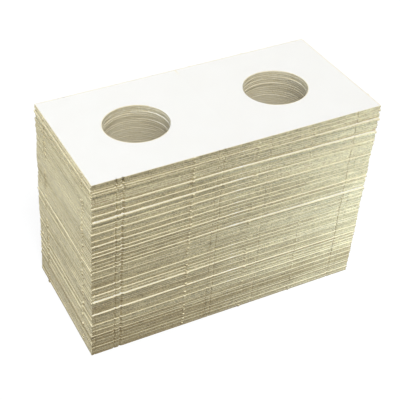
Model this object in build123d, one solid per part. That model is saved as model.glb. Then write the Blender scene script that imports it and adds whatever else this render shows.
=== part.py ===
from build123d import *
import os
from random import Random

# A stack of unfolded coin flips. X runs along the flips, Y across them with the front at -Y, Z is up.
# The origin is on the ground, in the middle of the stack's outline.

# One flip, in millimetres
half_side = 50.8          # each folded half is a two-inch square
window_diameter = 22.0    # punched in the middle of each half
board_thickness = 0.70
film_thickness = 0.05     # laminated on the inner face, which lies upwards
crease_width = 0.80       # V-shaped groove pressed into the outer face
crease_depth = 0.30

# The stack
loose_flips = 10          # on top, each with its own board and film
bundle_count = 9          # below them
flips_per_bundle = 10
lean_x = 2.2              # from the bottom flip's middle to the top flip's
lean_y = -6.6
slip_along = 0.25         # the most that a flip is out of line, each way
slip_across = 0.40
slip_seed = 576

flip_width = half_side
pitch = board_thickness + film_thickness
flip_count = loose_flips + bundle_count * flips_per_bundle
top_level = flip_count - 1


def line_up():
    """Middles of all flips from the bottom up: on the leaning line, each slipped a little out of it.

    The bottom and the top flip lie on the line itself."""
    draw = Random(slip_seed)
    middles = []
    for level in range(flip_count):
        share = level / top_level - 0.5
        loose = 0 < level < top_level
        slip_x = draw.triangular(-slip_along, slip_along) if loose else 0
        slip_y = draw.triangular(-slip_across, slip_across) if loose else 0
        middles.append((lean_x * share + slip_x, lean_y * share + slip_y))
    return middles


def sheet(outline, middle, height):
    """A sheet as wide as a flip: its outline in XZ carried across the flip, set down at a height."""
    face = make_face(Polyline(*outline, close=True))
    solid = extrude(Plane.XZ * face, flip_width / 2, both=True)
    return Pos(middle[0], middle[1], height) * solid


def window_punch(side, middle, height, depth):
    """The round punch of one window, side -1 for the left half and +1 for the right."""
    place = Pos(middle[0] + side * half_side / 2, middle[1], height)
    return place * Cylinder(window_diameter / 2, depth, align=(Align.CENTER, Align.CENTER, Align.MIN))


def blank(middle, height, thickness):
    """A whole unpunched blank, with the crease groove across the middle of its lower, outer face."""
    end = half_side
    groove = crease_width / 2
    outline = [
        (-end, 0),
        (-groove, 0),
        (0, crease_depth),
        (groove, 0),
        (end, 0),
        (end, thickness),
        (-end, thickness),
    ]
    return sheet(outline, middle, height)


def board(middle, height):
    """A flip's board: the creased blank with both windows."""
    left = window_punch(-1, middle, height, board_thickness)
    right = window_punch(1, middle, height, board_thickness)
    return blank(middle, height, board_thickness) - left - right


def half_board(side, middle, height):
    """One half of a flip's board, up to the bottom of the crease, with its window."""
    outline = [
        (side * half_side, 0),
        (side * crease_width / 2, 0),
        (0, crease_depth),
        (0, board_thickness),
        (side * half_side, board_thickness),
    ]
    return sheet(outline, middle, height) - window_punch(side, middle, height, board_thickness)


def film(middle, height, start=-half_side, end=half_side):
    """The clear film on a board, from start to end along it, cut flush with the board's edges."""
    outline = [(start, 0), (end, 0), (end, film_thickness), (start, film_thickness)]
    return sheet(outline, middle, height + board_thickness)


def bundle(levels, middles):
    """Neighbouring flips pressed together, each still slipped by itself, under one film.

    Each layer takes in its own film but for the top one. The windows run through at the bundle's middle."""
    base = levels[0] * pitch
    depth = (len(levels) - 1) * pitch + board_thickness
    middle = tuple(sum(middles[level][axis] for level in levels) / len(levels) for axis in (0, 1))
    layers = []
    for level in levels:
        thickness = board_thickness if level == levels[-1] else pitch
        layers.append(blank(middles[level], level * pitch, thickness))
    stack = layers[0].fuse(*layers[1:])
    return stack - window_punch(-1, middle, base, depth) - window_punch(1, middle, base, depth)


middles = line_up()
nodes = {}

# The top flip, in two halves that meet at the crease
top_middle = middles[top_level]
top_height = top_level * pitch
nodes["top_flip_left_board"] = half_board(-1, top_middle, top_height)
nodes["top_flip_right_board"] = half_board(1, top_middle, top_height)
nodes["top_flip_left_film"] = film(top_middle, top_height, end=0)
nodes["top_flip_right_film"] = film(top_middle, top_height, start=0)

# The other loose flips, numbered from the top
for number in range(2, loose_flips + 1):
    level = flip_count - number
    nodes[f"flip_{number:02d}_board"] = board(middles[level], level * pitch)
    nodes[f"flip_{number:02d}_film"] = film(middles[level], level * pitch)

# The bundles below, named by the flips that they hold
films = []
for order in range(bundle_count):
    first = loose_flips + 1 + order * flips_per_bundle
    last = first + flips_per_bundle - 1
    levels = [flip_count - number for number in range(last, first - 1, -1)]
    nodes[f"flips_{first}_to_{last}"] = bundle(levels, middles)
    films.append(film(middles[levels[-1]], levels[-1] * pitch))
nodes["bundle_films"] = Compound(children=films)

os.makedirs("parts", exist_ok=True)
for name, solid in nodes.items():
    export_step(solid, f"parts/{name}.step")
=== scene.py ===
import math

import bpy
import numpy as np
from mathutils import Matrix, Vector


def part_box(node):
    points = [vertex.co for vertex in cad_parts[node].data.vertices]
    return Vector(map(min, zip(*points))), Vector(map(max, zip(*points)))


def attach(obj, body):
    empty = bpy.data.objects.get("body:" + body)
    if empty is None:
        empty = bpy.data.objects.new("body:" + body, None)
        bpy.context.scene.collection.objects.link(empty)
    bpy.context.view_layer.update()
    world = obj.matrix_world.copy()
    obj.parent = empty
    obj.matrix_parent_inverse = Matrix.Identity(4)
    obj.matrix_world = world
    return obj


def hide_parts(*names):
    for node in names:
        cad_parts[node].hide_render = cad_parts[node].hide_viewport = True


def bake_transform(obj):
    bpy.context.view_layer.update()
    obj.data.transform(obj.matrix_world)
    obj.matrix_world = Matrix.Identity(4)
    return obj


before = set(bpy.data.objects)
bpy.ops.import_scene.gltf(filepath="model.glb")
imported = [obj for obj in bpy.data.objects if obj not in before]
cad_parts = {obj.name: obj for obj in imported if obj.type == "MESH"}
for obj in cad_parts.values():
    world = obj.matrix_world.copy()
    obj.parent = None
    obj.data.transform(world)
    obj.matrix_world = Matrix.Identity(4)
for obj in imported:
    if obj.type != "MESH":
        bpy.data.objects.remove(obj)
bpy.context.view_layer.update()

# Board of one flip
# A blank of solid white-lined paperboard, cut out of a larger sheet by a steel-rule die that punches both
# round windows in the same stroke. A crease is pressed across the middle of its outer, lower face, and its
# edges have small notches and torn nubs where the blank was held in the sheet.
mm = 0.001
left_low, left_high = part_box("top_flip_left_board")
film_low, film_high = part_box("top_flip_left_film")
half_side = left_high.x - left_low.x
board_thickness = left_high.z - left_low.z
film_thickness = film_high.z - film_low.z
pitch = board_thickness + film_thickness
window_radius = 11.0 * mm
cut_round = 0.04 * mm           # how far the die rounds the cut edges
rim_width = 0.40 * mm           # yellowed rim of the liner, round the windows
yellowed_width = 0.90 * mm      # and along the outline
crease_half_width = 0.40 * mm
crease_depth = 0.30 * mm        # groove in the outer face
crease_valley = 0.02 * mm       # dip over it in the inner face
rays = 64                       # from a window's middle to the outline; a multiple of 8 meets the corners
FACE, CUT, PUNCHED = 0, 1, 2    # skins of a sheet

# Where the blank was held in the sheet, on the long edges and on the short ends: place along the edge,
# width, width of each slope, how far it stands out (a notch is negative), share of the flips that have it
long_edge_nubs = [
    (-49.7, 0.1, 0.25, -0.14, 1.0),
    (-42.7, 0.15, 0.40, -0.28, 1.0),
    (-40.6, 0.3, 0.45, -0.36, 1.0),
    (-16.9, 0.5, 0.20, 0.40, 0.4),
    (-8.5, 0.1, 0.30, -0.18, 1.0),
    (-6.6, 0.1, 0.30, -0.18, 1.0),
    (5.5, 0.3, 0.45, 0.22, 0.3),
    (10.2, 0.1, 0.30, -0.14, 1.0),
    (25.7, 0.3, 0.45, 0.22, 0.35),
    (42.1, 0.1, 0.35, -0.24, 1.0),
    (44.6, 0.1, 0.30, -0.12, 1.0),
]
end_nubs = [(-17.6, 0.6, 0.25, 0.34, 0.5), (16.8, 0.6, 0.25, 0.34, 0.5)]
notch_spread, nub_spread = 0.06, 0.35   # from flip to flip, as a share of that


def half_outline(side, columns):
    """Outline of one half, seen from the middle of its window, in the order of the angle round it.

    Rays at even angles are drawn out to the square until the larger of their two coordinates is half its
    side. Points are added on both long edges at the columns, distances from the crease, and for each nub
    two feet and two shoulders. The crease is at the lowest x. Gives the points, and for each the number of
    its nub, how it stands out (0 at a foot, 1 at a shoulder) and the way out."""
    reach = half_side / 2
    angle = np.arange(rays) * 2 * np.pi / rays
    ray = np.stack([np.cos(angle), np.sin(angle)], 1)
    points = [ray * reach / np.abs(ray).max(1)[:, None]]
    nubs, shoulders, ways = [np.zeros(rays, int)], [np.zeros(rays)], [np.zeros((rays, 2))]
    edges = []
    for across in (-1, 1):
        for column in columns:
            points.append([[column - reach, across * reach]])
            nubs.append([0])
            shoulders.append([0])
            ways.append([[0, 0]])
        for place, width, slope, *_ in long_edge_nubs:
            edges.append(((1, 0), (0, across), side * place * mm - reach, width * mm, slope * mm))
    for place, width, slope, *_ in end_nubs:
        edges.append(((0, 1), (1, 0), place * mm, width * mm, slope * mm))
    for number, (along, out, place, width, slope) in enumerate(edges):
        if abs(place) < reach:
            steps = np.array([-width / 2 - slope, -width / 2, width / 2, width / 2 + slope])
            points.append((place + steps)[:, None] * along + reach * np.array(out))
            nubs.append(np.full(4, number))
            shoulders.append([0, 1, 1, 0])
            ways.append(np.tile(out, (4, 1)))
    points = np.concatenate(points)
    order = np.argsort(np.arctan2(points[:, 1], points[:, 0]))
    return [np.concatenate(part)[order] for part in ([points], nubs, shoulders, ways)]


def half_sheet(side, rings, columns, closed):
    """One half of a flip, as a grid of rings round its window.

    A ring is (form, size, height, skin, aged): a circle of that radius, the outline or its rim, both with
    their nubs, or the square drawn in by that size on all four sides. A height runs from 0 on the outer face
    to 1 on the inner face, less what the crease takes, and aged from 0 to 1 where it has yellowed most. The
    grid runs on from the last ring to the first if it is closed. Its faces are left out where a wall would
    stand in the crease. Gives arrays of one row per point: place, height, how aged it is, number of nub and
    way out, and then the faces and the skin of each."""
    reach = half_side / 2
    base, nub, shoulder, way = half_outline(side, columns)
    on_crease = base[:, 0] < -reach + 1e-9
    place, depth, rim, out, skin = [], [], [], [], []
    for form, size, height, kind, aged in rings:
        if form == "circle":
            flat = base / np.linalg.norm(base, axis=1)[:, None] * size
        elif form == "outline":
            flat = base
        else:
            crease_side = size if form == "inset" else 0
            flat = np.clip(base, [crease_side - reach, size - reach], reach - size)
        place.append(flat)
        depth.append(np.full(len(base), height))
        rim.append(~on_crease * aged)
        out.append(way * shoulder[:, None] * (form in ("rim", "outline")))
        skin.append(kind)
    count, turn = len(rings), len(base)
    ring = np.arange(count if closed else count - 1)[:, None]
    step = np.arange(turn)[None, :]
    corner = [(ring, step), (ring + 1, step), (ring + 1, step + 1), (ring, step + 1)]
    faces = np.stack([(r % count) * turn + s % turn for r, s in corner], -1)
    wall = np.isin(np.arange(count), [k for k, r in enumerate(rings) if r[0] in ("rim", "outline")])
    in_wall = wall[ring % count] & wall[(ring + 1) % count]
    in_crease = on_crease[step % turn] & on_crease[(step + 1) % turn]
    keep = ~(in_wall & in_crease)
    place = np.concatenate(place)
    place = np.stack([side * (place[:, 0] + reach), place[:, 1]], 1)
    out = np.concatenate(out) * [side, 1]
    skins = np.broadcast_to(np.array(skin)[ring % count], keep.shape)[keep]
    faces = faces[keep][:, ::side]
    return place, np.concatenate(depth), np.concatenate(rim), np.tile(nub, count), out, faces, skins


def flip_sheet(rings, columns, closed=True):
    """A whole flip: both halves, with the points that they share on the crease joined to one.

    A face with fewer than three different points, as at a corner of the inset square, is left out."""
    halves = [half_sheet(side, rings, columns, closed) for side in (-1, 1)]
    place, depth, rim, nub, out = [np.concatenate([half[k] for half in halves]) for k in range(5)]
    faces = np.concatenate([halves[0][5], halves[1][5] + len(halves[0][0])])
    skins = np.concatenate([half[6] for half in halves])
    same_place, same_depth = 1e-4 * mm, 1e-4     # points that are nearer to each other are one
    key = np.round(np.column_stack([place / same_place, depth / same_depth, out])).astype(np.int64)
    _, first, same = np.unique(key, axis=0, return_index=True, return_inverse=True)
    faces = same.reshape(-1)[faces]
    has_area = (np.diff(np.sort(faces, axis=1), axis=1) > 0).sum(axis=1) >= 2
    faces, skins = faces[has_area], skins[has_area]
    used, faces = np.unique(faces, return_inverse=True)
    first = first[used]
    return place[first], depth[first], rim[first], nub[first], out[first], faces.reshape(-1, 4), skins


def board_rings(insets):
    """Rings of a board, up the wall of the window, out over the inner face, down the cut edge and back.

    It is aged along the cut edges, and evenly less so up to the widest inset."""
    low, high = cut_round / board_thickness, 1 - cut_round / board_thickness
    inner = [("inset", inset, 1, FACE, 1 - inset / max(insets)) for inset in insets]
    outer = [("inset", inset, 0, FACE, 1 - inset / max(insets)) for inset in reversed(insets)]
    return [
        ("circle", window_radius + cut_round, 0, CUT, 0),
        ("circle", window_radius, low, PUNCHED, 1),
        ("circle", window_radius, high, CUT, 1),
        ("circle", window_radius + cut_round, 1, FACE, 1),
        ("circle", window_radius + rim_width, 1, FACE, 0),
        *inner,
        ("rim", cut_round, 1, CUT, 1),
        ("outline", 0, high, CUT, 1),
        ("outline", 0, low, CUT, 1),
        ("rim", cut_round, 0, FACE, 1),
        *outer,
    ]


def board_height(sheet, crease_left):
    """Height of a board's points over its base.

    The faces dip towards the crease by a straight slope on each side of it, the outer one by the groove's
    depth and the inner one by the valley's. Just short of the cut edges, where the creasing rule ends, only
    the share crease_left of it is left."""
    place, depth = sheet[:2]
    near = np.clip(1 - np.abs(place[:, 0]) / crease_half_width, 0, 1)
    from_edge = (half_side / 2 - cut_round - np.abs(place[:, 1])) / (crease_half_width - cut_round)
    near *= crease_left + (1 - crease_left) * np.clip(from_edge, 0, 1)
    return depth * board_thickness + near * (crease_depth * (1 - depth) - crease_valley * depth)


def make_piece(name, points, faces, skins, materials, **values):
    """A mesh object at the origin, with a material for each skin and each value kept at its points.

    A face that names a point twice becomes a triangle."""
    mesh = bpy.data.meshes.new(name)
    mesh.from_pydata(points.tolist(), [], [list(dict.fromkeys(face)) for face in faces.tolist()])
    mesh.polygons.foreach_set("material_index", skins.astype(np.int32))
    mesh.polygons.foreach_set("use_smooth", skins == PUNCHED)
    for key, value in values.items():
        layer = mesh.attributes.new(key, "FLOAT", "POINT")
        layer.data.foreach_set("value", np.asarray(value, np.float32))
    for material in materials:
        mesh.materials.append(material)
    mesh.update()
    piece = bpy.data.objects.new(name, mesh)
    bpy.context.scene.collection.objects.link(piece)
    return piece


def srgb(code):
    """Linear colour of an sRGB hex code."""
    part = np.array([int(code[k:k + 2], 16) for k in (0, 2, 4)]) / 255
    linear = np.where(part <= 0.04045, part / 12.92, ((part + 0.055) / 1.055) ** 2.4)
    return (*linear.tolist(), 1.0)


def add_node(tree, kind, inputs=None, **settings):
    """Adds a node with its settings. Each input takes a value, or the output that it is linked to."""
    node = tree.nodes.new(kind)
    for key, value in settings.items():
        setattr(node, key, value)
    for key, value in (inputs or {}).items():
        if isinstance(value, bpy.types.NodeSocket):
            tree.links.new(value, node.inputs[key])
        else:
            node.inputs[key].default_value = value
    return node


def new_material(name):
    """An empty node material and its tree."""
    material = bpy.data.materials.new(name)
    material.use_nodes = True
    material.node_tree.nodes.clear()
    return material, material.node_tree


def white_liner():
    """Clay-coated white liner of the board: matte and even, with a faint cloudy mottle and fine fibres.

    Along the cut edges, where air gets in, it has yellowed a little."""
    mottle_size, fibre_size, fibre_height = 7.0 * mm, 0.35 * mm, 0.004 * mm
    material, tree = new_material("white_liner")
    where = add_node(tree, "ShaderNodeTexCoord").outputs["Object"]
    mottle = add_node(tree, "ShaderNodeTexNoise", {"Vector": where, "Scale": 1 / mottle_size, "Detail": 3.0})
    fibre = add_node(tree, "ShaderNodeTexNoise", {"Vector": where, "Scale": 1 / fibre_size, "Detail": 2.0})
    colour = add_node(tree, "ShaderNodeMix", {"Factor": mottle.outputs["Fac"]}, data_type="RGBA")
    colour.inputs["A"].default_value = srgb("F7F6F2")
    colour.inputs["B"].default_value = srgb("FBFBF8")
    rim = add_node(tree, "ShaderNodeAttribute", attribute_name="rim").outputs["Fac"]
    aged = add_node(tree, "ShaderNodeMix", {"Factor": rim}, data_type="RGBA")
    tree.links.new(colour.outputs["Result"], aged.inputs["A"])
    aged.inputs["B"].default_value = srgb("F3E9C3")
    bump = add_node(tree, "ShaderNodeBump", {"Height": fibre.outputs["Fac"], "Distance": fibre_height})
    paint = add_node(tree, "ShaderNodeBsdfPrincipled", {
        "Base Color": aged.outputs["Result"], "Normal": bump.outputs["Normal"], "Roughness": 0.6,
        "Specular IOR Level": 0.15,
    })
    add_node(tree, "ShaderNodeOutputMaterial", {"Surface": paint.outputs["BSDF"]})
    return material


def cut_pulp(name, dark, middle, pale):
    """Cut edge of the board: a core of unbleached pulp between two thin white liners.

    The die leaves it matte, with long fibres in the plane of the board, loose specks and fine scores
    from top to bottom. Each flip's core is a little browner or greyer than its neighbour's. Its colour also
    carries painted light and shade: paler towards the top of the stack and darker towards the bottom."""
    fibre_length, ply_height, speck_size = 2.5 * mm, 0.12 * mm, 0.45 * mm
    score_width, score_length, relief = 0.30 * mm, 1.5 * mm, 0.05 * mm
    patch_length, patch_height = 22 * mm, 5 * mm
    liner_end, core_start = 0.02, 0.08      # shares of the thickness, from either face
    grain_dark, grain_pale = 0.26, 0.74     # overlaid on the core's colour, where 0.5 leaves it as it is
    material, tree = new_material(name)
    where = add_node(tree, "ShaderNodeTexCoord").outputs["Object"]
    lying = add_node(tree, "ShaderNodeMapping", {
        "Vector": where, "Scale": (1 / fibre_length, 1 / fibre_length, 1 / ply_height)})
    fibre = add_node(tree, "ShaderNodeTexNoise", {"Vector": lying.outputs[0], "Scale": 1.0, "Detail": 3.0})
    speck = add_node(tree, "ShaderNodeTexNoise", {"Vector": where, "Scale": 1 / speck_size, "Detail": 3.0})
    upright = add_node(tree, "ShaderNodeMapping", {
        "Vector": where, "Scale": (1 / score_width, 1 / score_width, 1 / score_length)})
    score = add_node(tree, "ShaderNodeTexNoise", {"Vector": upright.outputs[0], "Scale": 1.0, "Detail": 2.0})
    # The tone read here is each flip's own pulp tone together with painted shade, paler up the stack and
    # darker down it.
    tone = add_node(tree, "ShaderNodeAttribute", attribute_name="tone").outputs["Fac"]
    ply = add_node(tree, "ShaderNodeAttribute", attribute_name="ply").outputs["Fac"]
    batch = add_node(tree, "ShaderNodeMapping", {
        "Vector": where, "Scale": (1 / patch_length, 1 / patch_length, 1 / patch_height)})
    patch = add_node(tree, "ShaderNodeTexNoise", {"Vector": batch.outputs[0], "Scale": 1.0, "Detail": 2.0})
    mixed = add_node(tree, "ShaderNodeMath", {0: tone, 1: patch.outputs["Fac"]})
    centred = add_node(tree, "ShaderNodeMath", {0: mixed.outputs[0], 1: 0.5}, operation="SUBTRACT")
    core = add_node(tree, "ShaderNodeValToRGB", {"Fac": centred.outputs[0]})
    ramp = core.color_ramp.elements
    ramp[0].position, ramp[0].color = 0.0, srgb(dark)
    ramp[1].position, ramp[1].color = 1.0, srgb(pale)
    ramp.new(0.5).color = srgb(middle)
    lifted = add_node(tree, "ShaderNodeMath", {0: fibre.outputs["Fac"], 1: speck.outputs["Fac"]})
    flecked = add_node(tree, "ShaderNodeMix", {"Factor": 1.0}, data_type="RGBA", blend_type="OVERLAY")
    tree.links.new(core.outputs["Color"], flecked.inputs["A"])
    shade = add_node(tree, "ShaderNodeMapRange", {
        "Value": lifted.outputs[0], "From Min": 0.75, "From Max": 1.25, "To Min": grain_dark,
        "To Max": grain_pale})
    tree.links.new(shade.outputs["Result"], flecked.inputs["B"])
    lined = add_node(tree, "ShaderNodeValToRGB", {"Fac": ply})
    band = lined.color_ramp.elements
    band[0].position, band[0].color = liner_end, srgb("FFFFFF")
    band[1].position, band[1].color = 1 - liner_end, srgb("FFFFFF")
    band.new(core_start).color = srgb("000000")
    band.new(1 - core_start).color = srgb("000000")
    colour = add_node(tree, "ShaderNodeMix", {"Factor": lined.outputs["Color"]}, data_type="RGBA")
    tree.links.new(flecked.outputs["Result"], colour.inputs["A"])
    colour.inputs["B"].default_value = srgb("EFE9D6")
    rough = add_node(tree, "ShaderNodeMath", {0: lifted.outputs[0], 1: score.outputs["Fac"]})
    bump = add_node(tree, "ShaderNodeBump", {
        "Height": rough.outputs[0], "Distance": relief, "Strength": 0.6})
    paint = add_node(tree, "ShaderNodeBsdfPrincipled", {
        "Base Color": colour.outputs["Result"], "Normal": bump.outputs["Normal"], "Roughness": 0.85,
        "Specular IOR Level": 0.2,
    })
    add_node(tree, "ShaderNodeOutputMaterial", {"Surface": paint.outputs["BSDF"]})
    return material


board_materials = [
    white_liner(),
    cut_pulp("cut_pulp", "9B8B67", "B6A883", "CDBF97"),
    # The window walls are the same pulp as the cut edges, painted paler: painted light, for the window walls
    # being lit more strongly than the outer edges.
    cut_pulp("punched_pulp_painted_paler", "BFAF87", "D5CBA7", "E3DBBC"),
]
plain_board = flip_sheet(board_rings([yellowed_width, crease_half_width]), [crease_half_width])

# The ninety flips of the lower stack
# They lie on each other as they were packed, on a line that leans to the front. Most are nearly flush, and
# here and there one stands out of the line, more at the left end than at the right. Between the topmost and
# the lowest, their ends hang a little below their creases.
flip_count = 100
loose_flips = 10
flips_per_bundle = 10
lean = np.array([2.2, -6.6]) * mm            # from the bottom flip's middle to the top flip's
strong_at_left = [13, 62, 20, 17, 66, 74]    # flips that stand out at the front, at their left end
middling_at_left = [23, 26, 33, 37, 39, 42, 48, 81]
faint_at_left = [11, 30, 58, 49, 52, 69, 85, 88, 96]
strong_at_right = [13, 26, 46]               # and at their right end
middling_at_right = [39]
faint_at_right = [18, 41, 49, 53, 70, 74, 78, 81, 90, 94, 98]
strong_at_end = [47, 81]                     # and at the left short edge
faint_at_end = [17, 52, 67, 85, 88]
strong_proud, middling_proud, faint_proud = 0.48 * mm, 0.28 * mm, 0.20 * mm
end_share = 0.42                             # of those amounts, at the short edge
proud_spread = 0.3                           # of those amounts, each way
back_above, back_below = 0.5, 0.3            # share of it by which the flips above and under lie back
droop_at = [1, 4, 13, 26, 60, 100]           # flips, and how far their ends hang below their crease there
droop_left = np.array([0, 0, 0.1, 0.8, 0.7, 0]) * mm
droop_right = np.array([0, 0, 1.2, 0.9, 0.7, 0]) * mm
uneven_left, uneven_right = 0.075 * mm, 0.09 * mm   # of every flip's ends, to the front
uneven_along = 0.04 * mm
wander_along = 0.28 * mm                     # slow wandering of the stack's ends
settled_from, settled_share = 68, 0.4        # further down, left ends are pressed into line, to that share
window_slip, loose_slip = 0.12, 0.5          # share of all this by which the windows are out of line
neighbours = 9                               # flips over which a slow change is evened out
tone_wander, tone_spread = 0.3, 0.07         # of the pulp's tone, down the stack and from flip to flip
# Painted light and shade: the pulp is painted paler towards the top of the stack and darker towards the
# bottom, more so from one flip down, and the topmost flips are painted paler still.
tone_fall = 0.35                             # from the top flip, the palest, to the bottom one
painted_shade_from, painted_shade_fall_below = 60, 0.25              # and once more from this flip down
painted_light_top_flips, painted_light_rise = 4, 0.25            # the topmost are paler still

chance = np.random.default_rng(2)
top_middle = np.array([left_high.x, (left_low.y + left_high.y) / 2])
numbers = np.arange(1, flip_count + 1)       # from the top


def slow_change(most):
    """A random number for each flip that changes slowly down the stack: the mean of some neighbours."""
    steps = chance.normal(0, most, flip_count + neighbours - 1)
    return np.convolve(steps, np.ones(neighbours) / neighbours, "valid")


def stand_out(strong, middling, faint):
    """How far each flip stands out of the line: the proud ones by about their usual amount.

    The flips above and under a proud one lie back by shares of that, and the others are in line."""
    out = np.zeros(flip_count)
    for proud, usual in ((strong, strong_proud), (middling, middling_proud), (faint, faint_proud)):
        spread = chance.uniform(1 - proud_spread, 1 + proud_spread, len(proud))
        out[np.array(proud, int) - 1] = usual * spread
    proud = out.copy()
    out[:-1] -= back_above * proud[1:]
    out[1:] -= back_below * proud[:-1]
    return out


def lay_sheets(name, sheet, height, held, materials):
    """Flips of one range as one piece: the same sheet for each, with its own nubs, turned about Z.

    The windows go only a share of the way out of the line and round. Both halves fall straight from the
    crease to the flip's ends, by the droop."""
    place, ply, rim, nub, out, faces, skins = sheet
    count, size = len(bases[held]), len(place)
    flat = place + nub_heights[held][:, nub][:, :, None] * out
    from_middle = np.hypot(np.abs(place[:, 0]) - half_side / 2, place[:, 1])
    at_window = from_middle < window_radius + rim_width + cut_round
    slip = np.where(at_window, window_slips[held][:, None], 1)
    cos, sin = np.cos(slip * turns[held][:, None]), np.sin(slip * turns[held][:, None])
    x = line[held, :1] + slip * (places - line)[held, :1] + flat[..., 0] * cos - flat[..., 1] * sin
    y = line[held, 1:] + slip * (places - line)[held, 1:] + flat[..., 0] * sin + flat[..., 1] * cos
    droop = np.where(place[:, 0] < 0, droops[held, :1], droops[held, 1:])
    z = bases[held][:, None] + height - droop * np.abs(place[:, 0]) / half_side
    points = np.stack([x, y, z], -1).reshape(-1, 3)
    faces = (faces + np.arange(count)[:, None, None] * size).reshape(-1, 4)
    return make_piece(
        name, points, faces, np.tile(skins, count), materials,
        ply=np.tile(ply, count), rim=np.tile(rim, count), tone=np.repeat(tones[held], size))


front_left = stand_out(strong_at_left, middling_at_left, faint_at_left)
front_right = stand_out(strong_at_right, middling_at_right, faint_at_right)
left = end_share * stand_out(strong_at_end, [], faint_at_end)
front_left += chance.normal(0, uneven_left, flip_count)
front_right += chance.normal(0, uneven_right, flip_count)
wander = slow_change(wander_along)
left += chance.normal(0, uneven_along, flip_count) + wander - np.linspace(wander[0], wander[-1], flip_count)
front_left *= np.interp(numbers, [settled_from, flip_count], [1, settled_share])
line = top_middle - lean * (numbers - 1)[:, None] / (flip_count - 1)
places = line - np.stack([left, (front_left + front_right) / 2], 1)
window_slips = np.where(numbers > loose_flips, window_slip, loose_slip)
turns = (front_left - front_right) / (2 * half_side)
droops = np.stack([np.interp(numbers, droop_at, droop) for droop in (droop_left, droop_right)], 1)
tones = np.clip(0.5 + slow_change(tone_wander) + chance.normal(0, tone_spread, flip_count), 0, 1)
# Painted shade down the stack, and painted light on the topmost flips.
tones += tone_fall * (0.5 - numbers / flip_count)
tones -= painted_shade_fall_below * np.clip((numbers - painted_shade_from) / (flip_count - painted_shade_from), 0, 1)
tones[:painted_light_top_flips] += painted_light_rise
bases = (flip_count - numbers) * pitch
nub_height, nub_share = np.array([nub[3:] for nub in long_edge_nubs * 2 + end_nubs]).T
nub_change = chance.uniform(-1, 1, (flip_count, len(nub_height)))
nub_heights = nub_height * mm * (1 + np.where(nub_height < 0, notch_spread, nub_spread) * nub_change)
nub_heights *= chance.random(nub_heights.shape) < nub_share

for first in range(loose_flips + 1, flip_count, flips_per_bundle):
    last = first + flips_per_bundle - 1
    stack = lay_sheets(
        f"boards_{first}_to_{last}", plain_board, board_height(plain_board, crease_left=0),
        slice(first - 1, last), board_materials)
    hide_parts(f"flips_{first}_to_{last}")
    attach(stack, "lower_stack")

# The nine loose flips under the top one
# Boards like the others, each free to be picked up off the stack. They lie where the frame has them, but a
# few have been knocked a little out of line.
knocked_askew = {2: -0.08, 3: -0.24, 5: 0.15, 6: 0.40, 7: -0.45, 10: 0.10}   # degrees
knocked_forward = {6: 0.25 * mm}
knocked_left = {3: -0.06 * mm, 4: 0.12 * mm}
for number in range(2, loose_flips + 1):
    name = f"flip_{number:02d}"
    low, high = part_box(f"{name}_board")
    places[number - 1] = (low.x + high.x) / 2, (low.y + high.y) / 2
    places[number - 1] -= knocked_left.get(number, 0), knocked_forward.get(number, 0)
    turns[number - 1] = math.radians(knocked_askew.get(number, 0))
    board = lay_sheets(
        f"board_{number:02d}", plain_board, board_height(plain_board, crease_left=0),
        slice(number - 1, number), board_materials)
    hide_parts(f"{name}_board")
    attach(board, name)

# The top flip's board
# The same blank, which folds shut on its crease. The pressed groove lets the outer liner stretch round the
# fold, also at the cut edges, where half of it is left. The mesh has narrow columns there.
bend_columns = 4                # on each side of the crease
bend_insets = np.linspace(crease_half_width, 0, bend_columns + 1)[:-1].tolist()
places[0], turns[0] = top_middle, 0
creased_board = flip_sheet(board_rings(bend_insets), bend_insets)
top_board = lay_sheets(
    "board_01", creased_board, board_height(creased_board, crease_left=0.5), slice(1), board_materials)
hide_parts("top_flip_left_board", "top_flip_right_board")
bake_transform(top_board)

# Films
# Clear polyester film, laminated over the whole inner face of each board and cut flush with it. It closes
# both windows, where it sags by a hair, and bridges the crease.
film_seat = 0.005 * mm          # left free over and under a film
film_sag = 0.03 * mm


def film_rings(radii, insets):
    """Rings of a film, out over its upper face from the middle of each window, down its edge and back."""
    upper = [("circle", radius, 1, FACE, 0) for radius in radii]
    upper += [("inset", inset, 1, FACE, 0) for inset in insets]
    lower = [(form, size, 0, FACE, 0) for form, size, *_ in reversed(upper)]
    return [*upper, ("outline", 0, 1, CUT, 0), ("outline", 0, 0, FACE, 0), *lower]


def film_height(sheet):
    """Height of a film's points over its board's base.

    Over a window it sags by a share of one less the square of the distance from the window's middle, as a
    part of the radius."""
    place, depth = sheet[:2]
    from_middle = np.hypot(np.abs(place[:, 0]) - half_side / 2, place[:, 1]) / window_radius
    sag = film_sag * np.clip(1 - from_middle ** 2, 0, None)
    return board_thickness + film_seat + depth * (film_thickness - 2 * film_seat) - sag


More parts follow.
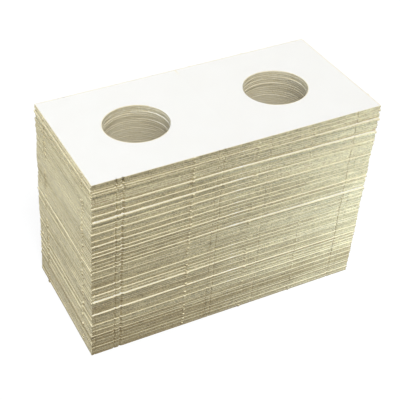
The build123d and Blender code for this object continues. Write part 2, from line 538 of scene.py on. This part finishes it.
def clear_film(name, mirror, haze):
    """Polyester film: nearly all light goes through, and its smooth faces mirror a little, more at a slant.

    The mirrored share rises from mirror, straight on, with the fifth power of the slant. A real film mirrors
    some four percent on each face. All through the stack that would veil the windows more than it does on
    the real flips, so the films below the top one mirror less. A thin haze of dust and rubbing scatters the
    share haze of the light."""
    slant_gain = 10     # along the surface, on top of what it mirrors straight on
    material, tree = new_material(name)
    slant = add_node(tree, "ShaderNodeLayerWeight", {"Blend": 0.5})
    steep = add_node(tree, "ShaderNodeMath", {0: slant.outputs["Facing"], 1: 5.0}, operation="POWER")
    share = add_node(tree, "ShaderNodeMath", {0: steep.outputs[0], 1: slant_gain * mirror, 2: mirror},
                     operation="MULTIPLY_ADD")
    through = add_node(tree, "ShaderNodeBsdfTransparent", {"Color": srgb("FFFFFF")})
    shine = add_node(tree, "ShaderNodeBsdfAnisotropic", {"Color": srgb("FFFFFF"), "Roughness": 0.15})
    dust = add_node(tree, "ShaderNodeBsdfDiffuse", {"Color": srgb("BDB08A")})
    clear = add_node(tree, "ShaderNodeMixShader", {0: haze, 1: through.outputs[0], 2: dust.outputs[0]})
    both = add_node(tree, "ShaderNodeMixShader", {
        0: share.outputs[0], 1: clear.outputs[0], 2: shine.outputs[0]})
    add_node(tree, "ShaderNodeOutputMaterial", {"Surface": both.outputs[0]})
    return material


def film_edge():
    """Cut edge of the film, which the die leaves milky."""
    material, tree = new_material("film_edge")
    paint = add_node(tree, "ShaderNodeBsdfPrincipled", {"Base Color": srgb("D8D0B6"), "Roughness": 0.5})
    add_node(tree, "ShaderNodeOutputMaterial", {"Surface": paint.outputs["BSDF"]})
    return material


cut_film = film_edge()
stacked_film = [clear_film("clear_film", mirror=0.0012, haze=0.006), cut_film]
top_film_skins = [clear_film("glossy_film", mirror=0.03, haze=0.004), cut_film]
flat_film = flip_sheet(film_rings([0, window_radius], []), [], closed=False)
stack_films = lay_sheets(
    "films_11_to_100", flat_film, film_height(flat_film), slice(loose_flips, flip_count), stacked_film)
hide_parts("bundle_films")
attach(stack_films, "lower_stack")
sag_radii = [0, window_radius / 2, window_radius]
loose_film = flip_sheet(film_rings(sag_radii, []), [], closed=False)
for number in range(2, loose_flips + 1):
    name = f"flip_{number:02d}"
    film = lay_sheets(
        f"film_{number:02d}", loose_film, film_height(loose_film), slice(number - 1, number), stacked_film)
    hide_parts(f"{name}_film")
    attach(film, name)
creased_film = flip_sheet(film_rings(sag_radii, bend_insets), bend_insets, closed=False)
top_film = lay_sheets("film_01", creased_film, film_height(creased_film), slice(1), top_film_skins)
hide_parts("top_flip_left_film", "top_flip_right_film")
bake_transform(top_film)

# Floor and backdrop
# A plain white studio table, which runs on past the picture. It looks white from everywhere and still keeps
# part of the stack's shadow.
floor_side = 8.0
floor_glow = 0.85               # share of its whiteness that no shadow takes


def seen_directly(tree):
    """1 for what the camera sees, straight, through films or in shiny things, 0 for what lights the scene."""
    path = add_node(tree, "ShaderNodeLightPath").outputs
    shiny = add_node(tree, "ShaderNodeMath", {0: path["Is Glossy Ray"], 1: path["Is Transmission Ray"]},
                     operation="MAXIMUM")
    seen = add_node(tree, "ShaderNodeMath", {0: path["Is Camera Ray"], 1: shiny.outputs[0]},
                    operation="MAXIMUM")
    return seen.outputs[0]


def white_table():
    """Matte white table top."""
    material, tree = new_material("white_table")
    seen = seen_directly(tree)
    shade = add_node(tree, "ShaderNodeMix", {"Factor": seen}, data_type="RGBA")
    shade.inputs["A"].default_value = srgb("606060")
    shade.inputs["B"].default_value = srgb("FFFFFF")
    matte = add_node(tree, "ShaderNodeBsdfDiffuse", {"Color": shade.outputs["Result"]})
    glow = add_node(tree, "ShaderNodeEmission", {"Color": srgb("FFFFFF"), "Strength": 1.0})
    share = add_node(tree, "ShaderNodeMath", {0: seen, 1: floor_glow}, operation="MULTIPLY")
    both = add_node(tree, "ShaderNodeMixShader", {
        0: share.outputs[0], 1: matte.outputs[0], 2: glow.outputs[0]})
    add_node(tree, "ShaderNodeOutputMaterial", {"Surface": both.outputs[0]})
    return material


corners = np.array([(-1, -1, 0), (1, -1, 0), (1, 1, 0), (-1, 1, 0)]) * floor_side / 2
floor = make_piece("table", corners, np.array([[0, 1, 2, 3]]), np.zeros(1, int), [white_table()])

# Light
# A broad soft lamp high at the front and a wide one straight above, in a white room. A small lamp brightens
# the front towards its right end, and others light both short ends and the back.
room_level = 0.15
scene = bpy.context.scene


def add_lamp(name, kind, level, place, aim, **settings):
    """A lamp at a place, turned towards a point. The lamp itself shows only in shiny things."""
    lamp = bpy.data.lights.new(name, kind)
    lamp.energy = level
    for key, value in settings.items():
        setattr(lamp, key, value)
    holder = bpy.data.objects.new(name, lamp)
    holder.location = place
    holder.rotation_euler = (Vector(aim) - Vector(place)).to_track_quat("-Z", "Y").to_euler()
    holder.visible_camera = False
    scene.collection.objects.link(holder)


add_lamp("overhead", "SUN", level=2.47, place=(-0.05, -0.60, 0.79), aim=(0, 0, 0), angle=math.radians(18))
add_lamp("above", "AREA", level=0.61, place=(0, 0.02, 0.55), aim=(0, 0, 0), size=0.60)
add_lamp(
    "front_right", "AREA", level=0.094, place=(0.085, -0.08, 0.026), aim=(0.045, -0.027, 0.022), size=0.05,
    color=srgb("CFE6FF")[:3])
add_lamp(
    "left_end", "AREA", level=1.08, place=(-0.38, 0, 0.10), aim=(-0.05, 0, 0.04), size=0.16,
    color=srgb("E9F3FF")[:3])
add_lamp("behind", "AREA", level=0.85, place=(0.05, 0.40, 0.05), aim=(0, 0.03, 0.04), size=0.12)
add_lamp("right_end", "AREA", level=0.75, place=(0.42, 0.03, 0.05), aim=(0.05, 0, 0.04), size=0.12)

world = bpy.data.worlds.new("white_room")
world.use_nodes = True
world.node_tree.nodes.clear()
room = add_node(world.node_tree, "ShaderNodeBackground", {"Color": srgb("FFFFFF"), "Strength": room_level})
backdrop = add_node(world.node_tree, "ShaderNodeBackground", {"Color": srgb("FFFFFF"), "Strength": 1.0})
sky = add_node(world.node_tree, "ShaderNodeMixShader", {
    0: seen_directly(world.node_tree), 1: room.outputs[0], 2: backdrop.outputs[0]})
add_node(world.node_tree, "ShaderNodeOutputWorld", {"Surface": sky.outputs[0]})
scene.world = world
scene.view_settings.view_transform = "Standard"
scene.cycles.transparent_max_bounces = 4 * flip_count   # two faces of every film, down a window and up again

# Camera
# Where the photograph was taken from: at the left of the front long side, looking down on the top flip.
focal_pixels = 1045.3           # in a picture of 400 by 400
picture_pixels = 400
azimuth, elevation = math.radians(-26.138), math.radians(36.925)
camera_distance = 366.91 * mm
camera_aim = Vector((-0.75, -1.45, 35.33)) * mm
back = Vector((
    math.sin(azimuth) * math.cos(elevation), -math.cos(azimuth) * math.cos(elevation), math.sin(elevation)))
lens = bpy.data.cameras.new("camera")
lens.sensor_width = 36.0
lens.lens = focal_pixels / picture_pixels * lens.sensor_width
lens.clip_start, lens.clip_end = 0.01, 100.0
camera = bpy.data.objects.new("camera", lens)
camera.location = camera_aim + back * camera_distance
camera.rotation_euler = (-back).to_track_quat("-Z", "Y").to_euler()
scene.collection.objects.link(camera)
scene.camera = camera
